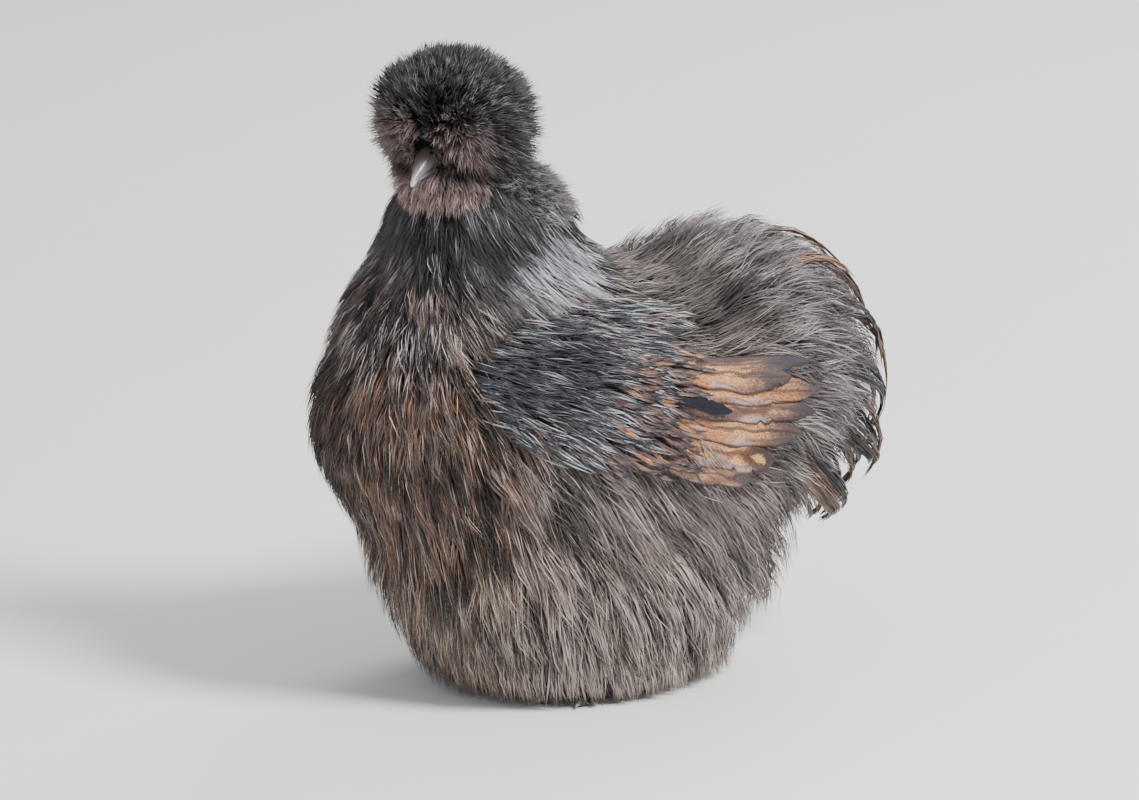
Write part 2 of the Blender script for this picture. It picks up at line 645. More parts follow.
class SkinMap:
    """The skin's own unwrap, to look up where a root lies on it."""

    def __init__(self, skin):
        mesh = skin.data
        places = np.zeros(len(mesh.vertices) * 3, np.float32)
        mesh.vertices.foreach_get("co", places)
        self.places = places.reshape(-1, 3).astype(float)
        corners = np.zeros(len(mesh.loops), int)
        mesh.loops.foreach_get("vertex_index", corners)
        self.faces = corners.reshape(-1, 3)
        flat = np.zeros(len(mesh.loops) * 2, np.float32)
        mesh.uv_layers[BAKE_MAP].data.foreach_get("uv", flat)
        self.unwrap = flat.reshape(-1, 3, 2).astype(float)
        self.tree = BVHTree.FromPolygons(self.places.tolist(), self.faces.tolist())

    def find(self, roots):
        """The unwrap's place nearest to each root, given in millimetres."""
        hits = [self.tree.find_nearest(Vector(root) * MM + MOVE) for root in roots]
        index = np.array([hit[2] for hit in hits])
        spots = np.array([hit[0] for hit in hits])
        a, b, c = self.places[self.faces[index]].transpose(1, 0, 2)
        whole = np.cross(b - a, c - a)
        square = np.maximum((whole**2).sum(axis=1), 1e-20)
        v = (np.cross(c - a, a - spots) * whole).sum(axis=1) / square
        w = (np.cross(b - a, spots - a) * whole).sum(axis=1) / square
        shares = np.clip(np.stack([1 - v - w, v, w], axis=1), 0, 1)
        return (self.unwrap[index] * shares[..., None]).sum(axis=1)


def array_object(name, verts, faces, uv, facts):
    """A mesh object from places in millimetres, triangles, their unwrap and facts of each vertex."""
    mesh = bpy.data.meshes.new(name)
    mesh.vertices.add(len(verts))
    mesh.loops.add(faces.size)
    mesh.polygons.add(len(faces))
    places = verts * MM + np.array(MOVE)
    mesh.vertices.foreach_set("co", places.astype(np.float32).ravel())
    mesh.loops.foreach_set("vertex_index", faces.astype(np.int32).ravel())
    mesh.polygons.foreach_set("loop_start", np.arange(0, faces.size, 3, dtype=np.int32))
    mesh.polygons.foreach_set("use_smooth", np.ones(len(faces), bool))
    mesh.update(calc_edges=True)
    layer = mesh.uv_layers.new(name=BAKE_MAP)
    layer.data.foreach_set("uv", np.clip(uv, 0, 1).astype(np.float32).ravel())
    for key, values in facts.items():
        values = np.asarray(values, np.float32)
        kind, field = ("FLOAT_VECTOR", "vector") if values.ndim == 2 else ("FLOAT", "value")
        mesh.attributes.new(key, kind, "POINT").data.foreach_set(field, values.ravel())
    mesh.validate()
    obj = bpy.data.objects.new(name, mesh)
    bpy.context.scene.collection.objects.link(obj)
    return obj


def strands_object(name, paths, outs, widths, ridges, facts, patches, along):
    """One mesh of three-edged strands that taper to both ends. Paths in millimetres, one row for each."""
    count, rings = paths.shape[:2]
    _, across, out = axes_along(paths, outs)
    half = across * (widths / 2)[..., None]
    corners = np.stack([paths - half, paths + half, paths + out * ridges[..., None]], axis=2)[:, 1:-1]
    verts = np.concatenate([paths[:, :1], corners.reshape(count, -1, 3), paths[:, -1:]], axis=1)
    each = verts.shape[1]
    last, tip = each - 4, each - 1
    faces = []
    for j, i in ((0, 1), (1, 2), (2, 0)):
        faces += [(0, 1 + j, 1 + i), (last + j, tip, last + i)]
        for low in range(1, last, 3):
            high = low + 3
            faces += [(low + j, high + j, low + i), (low + i, high + j, high + i)]
    faces = np.array(faces)
    ring_of = np.concatenate([[0], np.repeat(np.arange(1, rings - 1), 3), [rings - 1]])
    height = np.array(along)[ring_of]
    corner = np.concatenate([[0], np.tile((-0.4, 0.4, 0.0), rings - 2), [0]])
    uv = np.stack([corner, height - 0.5], axis=1)[faces] * PATCH
    uv = patches[:, None, None] + uv[None]
    all_faces = (faces[None] + (np.arange(count) * each)[:, None, None]).reshape(-1, 3)
    rows = {key: np.repeat(np.asarray(values), each, axis=0) for key, values in facts.items()}
    rows["along"] = np.tile(height, count)
    return array_object(name, verts.reshape(-1, 3), all_faces, uv, rows)


def strands_piece(name, kind, paths, outs, rng, lookup, wide):
    """One piece of the coat from the paths of its tufts."""
    spines, strand_outs = spread_tufts(kind, paths, outs, rng)
    rings = len(kind.shape)
    strands = len(paths) * kind.strands
    spines = spines.reshape(strands, rings, 3)
    lowest = STRAND_LOW + rng.uniform(0, STRAND_SCATTER, (strands, 1))
    spines[..., 2] = np.maximum(spines[..., 2], lowest)
    strand_outs = strand_outs.reshape(strands, rings, 3)
    _, across, _ = axes_along(spines, strand_outs)
    strand_outs = unit_rows(strand_outs + across * rng.normal(0, LEAN, (strands, 1, 1)))
    size = kind.width * wide * rng.uniform(*WIDTH_RANGE, (strands, 1))
    widths = size * np.array([ring[2] for ring in kind.shape])
    ridges = size * RIDGE * np.array([ring[3] for ring in kind.shape])
    facts = {
        "place": spines[:, -2] * MM,
        "tone": rng.random(strands),
        "tuft": np.repeat(rng.random(len(paths)), kind.strands),
    }
    patches = lookup.find(spines[:, 0])
    along = [ring[0] for ring in kind.shape]
    return strands_object(name, spines, strand_outs, widths, ridges, facts, patches, along)


def grown_piece(name, kind_name, pelt, tips, seed, lookup, wide, lower=None):
    """Grows one piece of the coat from its tips, and returns it."""
    kind = KINDS[kind_name]
    rng = np.random.default_rng(seed + 100)
    count = len(tips)
    depth = pelt.level(tips, np.zeros(count))
    lengths = (kind.length + kind.longer * np.maximum(depth, 0)) * rng.uniform(*LENGTH_RANGE, count)
    shares = rng.uniform(*kind.shares, count)
    if lower is not None:
        shares = shares * (1.0 - lower(tips))
    turns = rng.normal(0, kind.sway, count)
    paths, outs = lay_back(pelt, tips, shares, lengths, turns, kind.shape)
    if kind_name == "skirt":
        paths[..., 2] -= np.array(SKIRT_HANG)
    return strands_piece(name, kind, paths, outs, rng, lookup, wide)


def along_path(paths, outs, where):
    """Points and outward directions at the given places along each path, also a little past its end."""
    rings = paths.shape[1]
    at = np.clip(where, 0.0, 1.0) * (rings - 1)
    low = np.minimum(at.astype(int), rings - 2)
    part = (at - low)[..., None]
    row = np.arange(len(paths)).reshape(-1, *([1] * (where.ndim - 1)))
    points = paths[row, low] * (1 - part) + paths[row, low + 1] * part
    past = (where - np.clip(where, 0.0, 1.0))[..., None] * (rings - 1)
    points = points + (paths[row, rings - 1] - paths[row, rings - 2]) * past
    return points, outs[row, low] * (1 - part) + outs[row, low + 1] * part


def vane_faces(rings, columns):
    """The triangles of one vane: its upper and under face, and the rim between them."""
    each = rings * columns
    faces = []
    for r in range(rings - 1):
        for c in range(columns - 1):
            a = r * columns + c
            b, d, e = a + 1, a + columns, a + columns + 1
            faces += [(a, b, d), (b, e, d), (a + each, d + each, b + each), (b + each, d + each, e + each)]
    rim = [(r * columns, (r + 1) * columns) for r in range(rings - 1)]
    rim += [((r + 2) * columns - 1, (r + 1) * columns - 1) for r in range(rings - 1)]
    rim += [(c + 1, c) for c in range(columns - 1)]
    rim += [(each - columns + c, each - columns + c + 1) for c in range(columns - 1)]
    for a, b in rim:
        faces += [(a, b, a + each), (b, b + each, a + each)]
    return np.array(faces)


def vanes_object(name, paths, outs, halves, glow, shape, seed, lookup):
    """Smooth feathers: thin crowned vanes with a raised shaft, wavy faces and a few splits at their edges."""
    rng = np.random.default_rng(seed)
    count = len(paths)
    rings, columns, narrows, sharp = shape
    along = np.linspace(0.0, 1.0, rings)
    u = np.linspace(-1.0, 1.0, columns)
    _, across, _ = axes_along(paths, outs)
    lengths = np.linalg.norm(np.diff(paths, axis=1), axis=2).sum(axis=1)
    round_tip = (1.0 - np.clip((along - narrows) / (1.005 - narrows), 0, 1) ** 2) ** sharp
    width = halves[:, None] * np.interp(along, (0, 0.12, 0.3), (0.3, 0.75, 1.0)) * round_tip
    splits = np.zeros((count, rings, columns))
    for k in range(count):
        for place in rng.choice(np.arange(rings // 2, rings - 2), 2, replace=False):
            side = u > 0 if rng.random() < 0.6 else u < 0
            splits[k, place] = np.where(side, rng.uniform(0.1, 0.35), 0.0)
    hem = 1.0 + 0.08 * np.sin(along * 19.0 + rng.uniform(0, 6.3, (count, 1)))[..., None] * (u > 0)
    reach = width[..., None] * u * (1.0 - splits * u**2) * hem
    slant = VANE_SLANT * np.abs(u) * width[..., None] / lengths[:, None, None]
    where = along[:, None] + slant * np.clip((1.0 - along) / 0.15, 0.0, 1.0)[:, None]
    points, out = along_path(paths, outs, where)
    side_axis, _ = along_path(across, across, where)
    out = unit_rows(out)
    phase = rng.uniform(0, 6.3, (count, 1, 1))
    wave = np.sin(phase + where * 21.0 + u * 1.3) + 0.6 * np.sin(phase * 2 + where * 47.0 - u * 2.0)
    height = halves[:, None, None] * VANE_CROWN * (1.0 - u**2) + VANE_WAVE * wave * np.abs(u)
    height = height + VANE_SHAFT * np.exp(-((u / 0.1) ** 2)) * (1.0 - where)
    top = points + side_axis * reach[..., None] + out * height[..., None]
    under = top - out * (VANE_THICK * (1.0 - 0.5 * np.abs(u)))[:, None]
    verts = np.concatenate([top.reshape(count, -1, 3), under.reshape(count, -1, 3)], axis=1)
    each = 2 * rings * columns
    faces = vane_faces(rings, columns)
    all_faces = (faces[None] + (np.arange(count) * each)[:, None, None]).reshape(-1, 3)
    flat = np.stack([np.tile(u, rings), np.repeat(along, columns)], axis=1)
    flat = np.concatenate([flat, flat])
    uv = lookup.find(paths[:, 1])[:, None, None] + (flat * (0.4, 1.0) - (0, 0.5))[faces][None] * PATCH
    number = np.repeat(rng.random(count), each)
    facts = {
        "vane": np.column_stack([np.tile(flat[:, 1], count), np.tile(flat[:, 0], count), number]),
        "tone": np.repeat(glow, each),
    }
    return array_object(name, verts.reshape(-1, 3), all_faces, uv, facts)


# Shaders


class Value:
    """A shader socket that takes part in Python arithmetic."""

    def __init__(self, graph, socket):
        self.graph = graph
        self.socket = socket

    def __add__(self, other):
        return self.graph.maths("ADD", self, other)

    def __radd__(self, other):
        return self.graph.maths("ADD", other, self)

    def __sub__(self, other):
        return self.graph.maths("SUBTRACT", self, other)

    def __rsub__(self, other):
        return self.graph.maths("SUBTRACT", other, self)

    def __mul__(self, other):
        return self.graph.maths("MULTIPLY", self, other)

    def __truediv__(self, other):
        return self.graph.maths("DIVIDE", self, other)

    def __pow__(self, other):
        return self.graph.maths("POWER", self, other)


class Finish:
    """One material and its node graph."""

    def __init__(self, name, **constants):
        self.material = bpy.data.materials.new(name)
        self.material.use_nodes = True
        self.nodes = self.material.node_tree.nodes
        self.links = self.material.node_tree.links
        self.shader = self.nodes["Principled BSDF"]
        for key, value in constants.items():
            self.shader.inputs[key.replace("_", " ")].default_value = value

    def add(self, kind, settings, inputs, output=0):
        """Adds a node, sets it up, then fills its sockets by name or number with values or links."""
        node = self.nodes.new(kind)
        for key, value in settings.items():
            setattr(node, key, value)
        for key, value in inputs.items():
            if isinstance(value, Value):
                self.links.new(value.socket, node.inputs[key])
            else:
                node.inputs[key].default_value = value
        return Value(self, node.outputs[output])

    def maths(self, operation, a, b=0.0):
        return self.add("ShaderNodeMath", {"operation": operation}, {0: a, 1: b})

    def mix(self, factor, a, b):
        """A colour between a and b. Plain colours are given as three numbers."""
        a, b = (c if isinstance(c, Value) else (*c, 1.0) for c in (a, b))
        settings = {"data_type": "RGBA", "clamp_factor": True}
        return self.add("ShaderNodeMix", settings, {0: factor, 6: a, 7: b}, 2)

    def scale(self, colour, by):
        """A colour made lighter or darker by a number."""
        shaded = self.vector("SCALE", colour)
        self.links.new(by.socket, shaded.socket.node.inputs["Scale"])
        return shaded

    def vector(self, operation, a, b=(0, 0, 0), output=0):
        return self.add("ShaderNodeVectorMath", {"operation": operation}, {0: a, 1: b}, output)

    def parts(self, vector):
        """The three numbers of a vector."""
        first = self.add("ShaderNodeSeparateXYZ", {}, {0: vector})
        return [Value(self, socket) for socket in first.socket.node.outputs]

    def join(self, x, y, z):
        return self.add("ShaderNodeCombineXYZ", {}, {0: x, 1: y, 2: z})

    def step(self, value, low, high):
        """Rises smoothly from 0 at low to 1 at high."""
        inputs = {"Value": value, "From Min": low, "From Max": high}
        return self.add("ShaderNodeMapRange", {"interpolation_type": "SMOOTHSTEP"}, inputs)

    def noise(self, where, scale, detail):
        return self.add("ShaderNodeTexNoise", {}, {"Vector": where, "Scale": scale, "Detail": detail})

    def attribute(self, name, output=2):
        """An attribute of the mesh: output 2 is its number, output 1 its vector."""
        return self.add("ShaderNodeAttribute", {"attribute_name": name}, {}, output)

    def strand(self):
        """The place of a strand, in metres, then its tone, its tuft's number and the way along it."""
        return self.attribute("place", 1), *(self.attribute(name) for name in ("tone", "tuft", "along"))

    def place(self):
        """Object coordinates from the point between the feet, in metres."""
        here = self.add("ShaderNodeTexCoord", {}, {}, 3)
        return self.vector("SUBTRACT", here, tuple(MOVE))

    def near(self, place, centre, half, soft=0.3, both=True):
        """1 inside an ellipsoid given in millimetres, on both sides of the body or on one, 0 outside."""
        if both:
            x, y, z = self.parts(place)
            place = self.join(self.maths("ABSOLUTE", x), y, z)
        local = self.vector("SUBTRACT", place, tuple(c * MM for c in centre))
        local = self.vector("MULTIPLY", local, tuple(1.0 / (h * MM) for h in half))
        away = self.vector("LENGTH", local, output=1)
        return self.step(away, 1.0 + soft, 1.0 - soft)

    def use(self, **sockets):
        """Links values to the shader's sockets and returns the material."""
        for key, value in sockets.items():
            self.links.new(value.socket, self.shader.inputs[key.replace("_", " ")])
        return self.material

    def bump(self, height, strength, depth):
        """Relief from a value. Depth in millimetres."""
        inputs = {"Strength": strength, "Distance": depth * MM, "Height": height}
        return self.add("ShaderNodeBump", {}, inputs)


def coat_colour(finish, colours, place, tone, tuft, along):
    """The markings of neck, breast, back, flanks and tail, for coat and skin alike."""
    neck = finish.near(place, (0, -50, 250), (75, 70, 82), 0.16)
    cape = finish.near(place, (44, -38, 200), (36, 28, 40), 0.35)
    breast = finish.near(place, (0, -112, 128), (85, 60, 85), 0.25)
    tail = finish.near(place, (0, 118, 150), (95, 70, 85), 0.25)
    valley = finish.near(place, (20, 46, 184), (66, 32, 19), 0.5)
    low = finish.near(place, (0, -30, 25), (110, 95, 75), 0.35)
    shoulder = finish.near(place, (70, -70, 165), (45, 45, 28), 0.3)
    collar = finish.near(place, (0, -60, 231), (75, 65, 11), 0.5)
    hem = finish.near(place, (78, -15, 20), (50, 80, 60), 0.5)
    bib = finish.near(place, (0, -104, 182), (60, 34, 20), 0.5)
    shade = finish.near(place, (-34, -108, 140), (36, 42, 62), 0.5, both=False)
    patches = finish.noise(place, 38.0, 3.0)
    fine = finish.noise(place, 160.0, 2.0)

    ground = finish.mix(tail, tuple(colours.down), tuple(colours.cushion))
    ground = finish.mix(breast * 0.95, ground, tuple(colours.breast))
    ground = finish.mix(shoulder * 0.85, ground, tuple(colours.breast))
    ground = finish.mix(neck * 0.97, ground, tuple(colours.hackle))

    pale = finish.mix(tail, tuple(colours.down_streak), tuple(colours.cushion_streak))
    pale = finish.mix(finish.maths("MAXIMUM", neck, bib * 0.7), pale, tuple(colours.silver))
    many = 0.3 + low * 0.2 + hem * 0.28 + tail * 0.1 + bib * 0.22 + cape * 0.6
    many = many - shoulder * 0.08 - collar * 0.15
    streak = finish.step(tone * 0.8 + tuft * 0.5 + (fine - 0.5) * 0.8, 1.24 - many, 1.48 - many)
    streak = streak * finish.step(along, 0.1 + tuft * 0.3, 0.45 + tuft * 0.35)
    streak = streak * (1.0 - neck * finish.near(place, (0, -105, 235), (60, 60, 50), 0.2) * 0.3)

    rusty = finish.step(patches + (tuft - 0.5) * 0.5, 0.5, 0.64) * breast * finish.step(tone, 0.2, 0.55)
    tan = finish.step(patches + (tuft - 0.5) * 0.4, 0.46, 0.62) * low * (1.0 - hem) * 0.7

    light = (0.3 + tone * 0.6 + tuft * 0.8) * (0.45 + finish.step(patches, 0.38, 0.62) * 1.1)
    shaded = finish.scale(ground, light)
    colour = finish.mix(rusty * 0.85, shaded, tuple(colours.rust))
    colour = finish.mix(tan, colour, (0.38, 0.24, 0.15))
    colour = finish.mix(streak * 0.85, colour, pale)
    colour = finish.mix(valley * 0.75, colour, (0.035, 0.028, 0.028))
    colour = finish.mix(collar * 0.5, colour, (0.03, 0.025, 0.026))
    colour = finish.mix(shade * 0.75, colour, (0.028, 0.024, 0.023))
    return finish.mix((1.0 - along) ** 2.0 * 0.85, colour, (0.02, 0.017, 0.017))


def coat_material(colours):
    finish = Finish("hen_coat", Specular_IOR_Level=0.22)
    place, tone, tuft, along = finish.strand()
    colour = coat_colour(finish, colours, place, tone, tuft, along)
    return finish.use(Base_Color=colour, Roughness=0.4 + tone * 0.2)


def crest_colour(finish, colours, place, tone, tuft, along):
    """Charcoal crest, grey on one side, with brown puffs over the brows, brown beard and grey muffs."""
    brow = finish.near(place, by_head(0, -24, 2), (40, 24, 18), 0.4)
    beard = finish.near(place, by_head(0, -20, -26), (30, 26, 17), 0.3)
    muff = finish.near(place, (2, -40, 238), (52, 42, 28), 0.3)
    parting = finish.near(place, by_head(PARTING_X, -24, 20), (5, 14, 22), 0.5)
    side_puff = finish.near(place, by_head(-28, -14, 20), (22, 34, 30), 0.5, both=False)
    patches = finish.noise(place, 60.0, 2.0)
    ground = finish.mix(muff * 0.8, tuple(colours.crest), tuple(colours.muff))
    ground = finish.mix(side_puff * 0.6, ground, (0.13, 0.118, 0.125))
    ground = finish.mix(brow * 0.55, ground, tuple(colours.crest_low))
    ground = finish.mix(beard * 0.8, ground, tuple(colours.crest_low))
    shaded = finish.scale(ground, 0.2 + tone * 0.8 + tuft * 0.8)
    pale = finish.mix(beard, (0.32, 0.29, 0.31), tuple(colours.down_streak))
    streak = finish.step(tone + (patches - 0.5) + muff * 0.15, 0.78, 1.0) * finish.step(along, 0.3, 0.9)
    colour = finish.mix(streak * 0.65, shaded, pale)
    colour = finish.mix(parting * 0.8, colour, (0.012, 0.01, 0.011))
    for x in (16, -16):
        gap = finish.near(place, by_head(x, -22, -8), (10, 10, 4.5), 0.5, both=False)
        colour = finish.mix(gap * 0.8, colour, (0.012, 0.01, 0.011))
    return finish.mix((1.0 - along) ** 2.0 * 0.85, colour, (0.014, 0.012, 0.013))


def crest_material(colours):
    finish = Finish("hen_crest", Specular_IOR_Level=0.18)
    place, tone, tuft, along = finish.strand()
    colour = crest_colour(finish, colours, place, tone, tuft, along)
    return finish.use(Base_Color=colour, Roughness=0.5 + tone * 0.2)


def skin_material(colours):
    """Dark skin under the coat, with the coat's own markings, and bare blue-black skin on the face."""
    finish = Finish("hen_skin", Specular_IOR_Level=0.2)
    place = finish.place()
    tone = finish.noise(place, 700.0, 2.0)
    tuft = finish.noise(place, 240.0, 1.0)
    body = coat_colour(finish, colours, place, tone, tuft, tone * 0.3 + 0.2)
    crest = crest_colour(finish, colours, place, tone, tuft, tone * 0.3 + 0.2)
    head = finish.near(place, by_head(0, 2, 6), (40, 40, 40), 0.1)
    face = finish.near(place, by_head(0, -14, -2), (17, 14, 11), 0.2)
    colour = finish.mix(head, body, crest)
    bare = finish.mix(finish.noise(place, 420.0, 3.0), (0.005, 0.005, 0.006), (0.02, 0.022, 0.021))
    colour = finish.mix(face, colour, bare)
    grain = finish.noise(place, 1400.0, 3.0)
    relief = finish.bump(grain, 0.5, 0.3)
    return finish.use(Base_Color=colour, Roughness=0.5 + grain * 0.3, Normal=relief)


def covert_material(colours):
    """Glossy blue-black coverts with grey-green strands and brown patches."""
    finish = Finish("hen_covert", Specular_IOR_Level=0.35)
    place, tone, tuft, along = finish.strand()
    dark = finish.near(place, (72, -68, 172), (40, 34, 22), 0.5)
    brown = finish.step(finish.noise(place, 45.0, 3.0) + (tuft - 0.5) * 0.4, 0.52, 0.66) * (1.0 - dark)
    ground = finish.mix(brown * 0.45, tuple(colours.covert), (0.26, 0.15, 0.11))
    shaded = finish.scale(ground, 0.15 + tone * 0.8 + tuft * 0.7)
    streak = finish.step(tone + (finish.noise(place, 90.0, 2.0) - 0.5) * 0.8 - dark * 0.25, 0.6, 0.84)
    streak = streak * finish.step(along, 0.05, 0.4)
    colour = finish.mix(streak * 0.85, shaded, finish.mix(tuft, (0.5, 0.58, 0.61), (0.68, 0.64, 0.69)))
    colour = finish.mix(dark * 0.4, colour, (0.012, 0.012, 0.016))
    return finish.use(Base_Color=colour, Roughness=0.35 + tone * 0.2)


def flight_material(colours):
    """Satin feathers, orange or dull brown with dark wavy lines, dots, edges and tips, and one blue-black."""
    finish = Finish("hen_flight", Specular_IOR_Level=0.2)
    glow = finish.attribute("tone")
    along, u, number = finish.parts(finish.attribute("vane", 1))
    flat = finish.join(along * 90.0, u * 6.5, number * 300.0)
    out = finish.maths("ABSOLUTE", u)

    def pattern(stretch, detail):
        return finish.noise(finish.vector("MULTIPLY", flat, stretch), 1.0, detail)

    cloud = pattern((0.05, 0.16, 1.0), 2.0)
    speck = pattern((0.7, 1.1, 1.0), 3.0)
    dots = pattern((1.0, 2.0, 1.0), 2.0)
    drift = pattern((0.045, 0.1, 1.0), 1.0)
    lines = finish.maths("SINE", u * 8.0 + drift * 15.0) + (speck - 0.5) * 1.2 + (cloud - 0.5) * 2.0
    bars = finish.maths("SINE", along * 190.0 + speck * 6.0)
    barbs = finish.maths("SINE", along * 520.0 - out * 46.0)

    orange = finish.mix(finish.step(cloud, 0.35, 0.7), tuple(colours.flight), (0.66, 0.36, 0.17))
    dull = finish.mix(finish.step(cloud, 0.4, 0.62), (0.06, 0.048, 0.056), (0.24, 0.15, 0.13))
    colour = finish.mix(finish.step(glow + (cloud - 0.5) * 0.6, 0.1, 0.75), dull, orange)
    colour = finish.mix(finish.step(bars, 0.2, 1.0) * 0.3, colour, (0.1, 0.045, 0.025))
    colour = finish.mix(finish.step(lines, 0.1, 1.0) * 0.8, colour, (0.07, 0.036, 0.028))
    colour = finish.mix(finish.step(dots, 0.49, 0.58) * 0.68, colour, (0.075, 0.04, 0.032))
    silver = finish.step(u, 0.4, 0.75) * finish.step(speck + cloud, 0.94, 1.12)
    colour = finish.mix(silver * 0.7, colour, (0.33, 0.27, 0.29))
    edge = finish.step(out + (speck - 0.5) * 0.2, 0.8, 0.96)
    colour = finish.mix(edge * 0.85, colour, (0.03, 0.024, 0.028))
    colour = finish.mix(finish.step(out, 0.07, 0.02) * 0.5, colour, (0.06, 0.035, 0.03))
    tip = finish.step(along + (speck - 0.5) * 0.3 + (number - 0.5) * 0.16, 0.68, 0.9)
    colour = finish.mix(tip * 0.88, colour, (0.03, 0.028, 0.036))

    # The most orange feather has a yellow spot in a dark ring.
    big = finish.step(glow, 0.95, 0.99)
    spot = finish.vector("SUBTRACT", flat, (76.0, 1.0, 0.0))
    spot = finish.vector("LENGTH", finish.vector("MULTIPLY", spot, (0.15, 0.35, 0.0)), output=1)
    spot = spot + (speck - 0.5) * 1.6
    colour = finish.mix(big * finish.step(spot, 2.6, 1.8) * 0.85, colour, (0.04, 0.024, 0.02))
    yellow = finish.mix(finish.step(bars, 0.0, 0.8) * 0.5, (0.45, 0.3, 0.1), (0.16, 0.09, 0.04))
    colour = finish.mix(big * finish.step(spot, 1.0, 0.55), colour, yellow)
    colour = finish.mix(finish.step(glow, -0.75, -0.95), colour, (0.008, 0.008, 0.014))
    relief = finish.bump(barbs * 0.5 + pattern((2.0, 0.5, 1.0), 2.0), 0.3, 0.12)
    return finish.use(Base_Color=colour, Roughness=0.38 + speck * 0.3, Normal=relief)


def plume_material():
    """Near-black plumes, brown in places and towards the upper rim of the tail."""
    finish = Finish("hen_plume", Specular_IOR_Level=0.6)
    tone, tuft = (finish.attribute(name) for name in ("tone", "tuft"))
    place = finish.attribute("place", 1)
    upper = finish.near(place, (40, 130, 205), (50, 40, 28), 0.4)
    brown = finish.step(finish.noise(place, 60.0, 3.0) + (tuft - 0.5) * 0.3 + upper * 0.1, 0.52, 0.64)
    colour = finish.mix(tone**2.0, (0.014, 0.013, 0.015), (0.11, 0.1, 0.105))
    colour = finish.mix(brown * (0.5 + upper * 0.3), colour, (0.3, 0.15, 0.085))
    return finish.use(Base_Color=colour, Roughness=0.32 + tone * 0.2)


def horn_material(colours):
    """Slate horn at the root of the beak, whitish at its tip, with faint streaks."""
    finish = Finish("hen_beak", Specular_IOR_Level=0.5, Coat_Weight=0.15)
    place = finish.place()
    local = finish.vector("SUBTRACT", place, tuple(HEAD_TURN @ BEAK_ROOT))
    ahead = finish.vector("DOT_PRODUCT", local, tuple(BEAK_AIM / (20 * MM)), output=1)
    streak = finish.noise(finish.vector("MULTIPLY", place, (1.0, 1.0, 0.35)), 700.0, 3.0)
    shade = ahead + (streak - 0.5) * 0.3
    colour = finish.mix(finish.step(shade, 0.5, 0.95), tuple(colours.horn), (0.2, 0.215, 0.25))
    colour = finish.mix(finish.step(shade, 0.78, 1.08), colour, tuple(colours.horn_tip))
    stain = finish.step(finish.noise(place, 420.0, 3.0), 0.46, 0.6) * finish.step(shade, 0.95, 0.6)
    colour = finish.mix(stain * 0.7, colour, (0.14, 0.075, 0.04))
    for side, _ in SIDES:
        spot = tuple(HEAD_TURN @ (Vector((3.6 * side, -24.0, 1.5)) * MM))
        hole = finish.vector("DISTANCE", place, spot, output=1)
        colour = finish.mix(finish.step(hole, 1.5 * MM, 0.7 * MM), colour, (0.01, 0.01, 0.011))
    relief = finish.bump(streak, 0.25, 0.1)
    return finish.use(Base_Color=colour, Roughness=0.3 + streak * 0.2, Normal=relief)


def bare_material():
    """Blue-black bare skin of comb, wattles and lobes, paler on its folds."""
    finish = Finish("hen_bare_skin", Specular_IOR_Level=0.3)
    place = finish.place()
    fold = finish.noise(place, 520.0, 4.0)
    colour = finish.mix(finish.step(fold, 0.4, 0.65), (0.02, 0.021, 0.026), (0.13, 0.145, 0.16))
    relief = finish.bump(fold, 0.6, 0.3)
    return finish.use(Base_Color=colour, Roughness=0.55 - fold * 0.2, Normal=relief)


def foot_material(colours):
    """Blue-black scaled skin of shanks and toes, a little paler on the scales."""
    finish = Finish("hen_foot", Specular_IOR_Level=0.45)
    place = finish.place()
    cells = {"Vector": place, "Scale": 720.0}
    scales = finish.add("ShaderNodeTexVoronoi", {"feature": "DISTANCE_TO_EDGE"}, cells)
    plate = finish.step(scales, 0.02, 0.16)
    dust = finish.mix(finish.noise(place, 260.0, 3.0), tuple(colours.skin), (0.12, 0.12, 0.13))
    colour = finish.mix(plate, (0.02, 0.02, 0.024), dust)
    relief = finish.bump(plate, 0.5, 0.2)
    return finish.use(Base_Color=colour, Roughness=0.6 - plate * 0.12, Normal=relief)


def claw_material():
    finish = Finish("hen_claw", Specular_IOR_Level=0.5)
    place = finish.place()
    streak = finish.noise(place, 600.0, 3.0)
    colour = finish.mix(finish.step(streak, 0.35, 0.7), (0.08, 0.078, 0.08), (0.3, 0.28, 0.25))
    relief = finish.bump(streak, 0.3, 0.1)
    return finish.use(Base_Color=colour, Roughness=0.35 + streak * 0.2, Normal=relief)


def eye_material():
    """A dark brown iris round a black pupil, wet."""
    finish = Finish("hen_eye", Specular_IOR_Level=0.6, Coat_Weight=1.0, Coat_Roughness=0.03)
    place = finish.place()
    rough = finish.noise(place, 900.0, 2.0)
    iris = finish.mix(rough, (0.05, 0.018, 0.008), (0.11, 0.045, 0.02))
    rim = colour = (0.02, 0.018, 0.02)
    for side, _ in SIDES:
        spot = tuple(HEAD_TURN @ eye_place(side))
        local = finish.vector("SUBTRACT", place, spot)
        ahead = finish.vector("DOT_PRODUCT", local, tuple(eye_aim(side)), output=1) / (EYE_RADIUS * MM)
        ring = finish.mix(finish.step(ahead, 0.9, 0.93), iris, (0.003, 0.003, 0.003))
        ring = finish.mix(finish.step(ahead, 0.68, 0.62), ring, rim)
        near = finish.step(finish.vector("DISTANCE", place, spot, output=1), 9 * MM, 7 * MM)
        colour = finish.mix(near, colour, ring)
    return finish.use(Base_Color=colour, Roughness=0.08 + rough * 0.04)


# The pieces


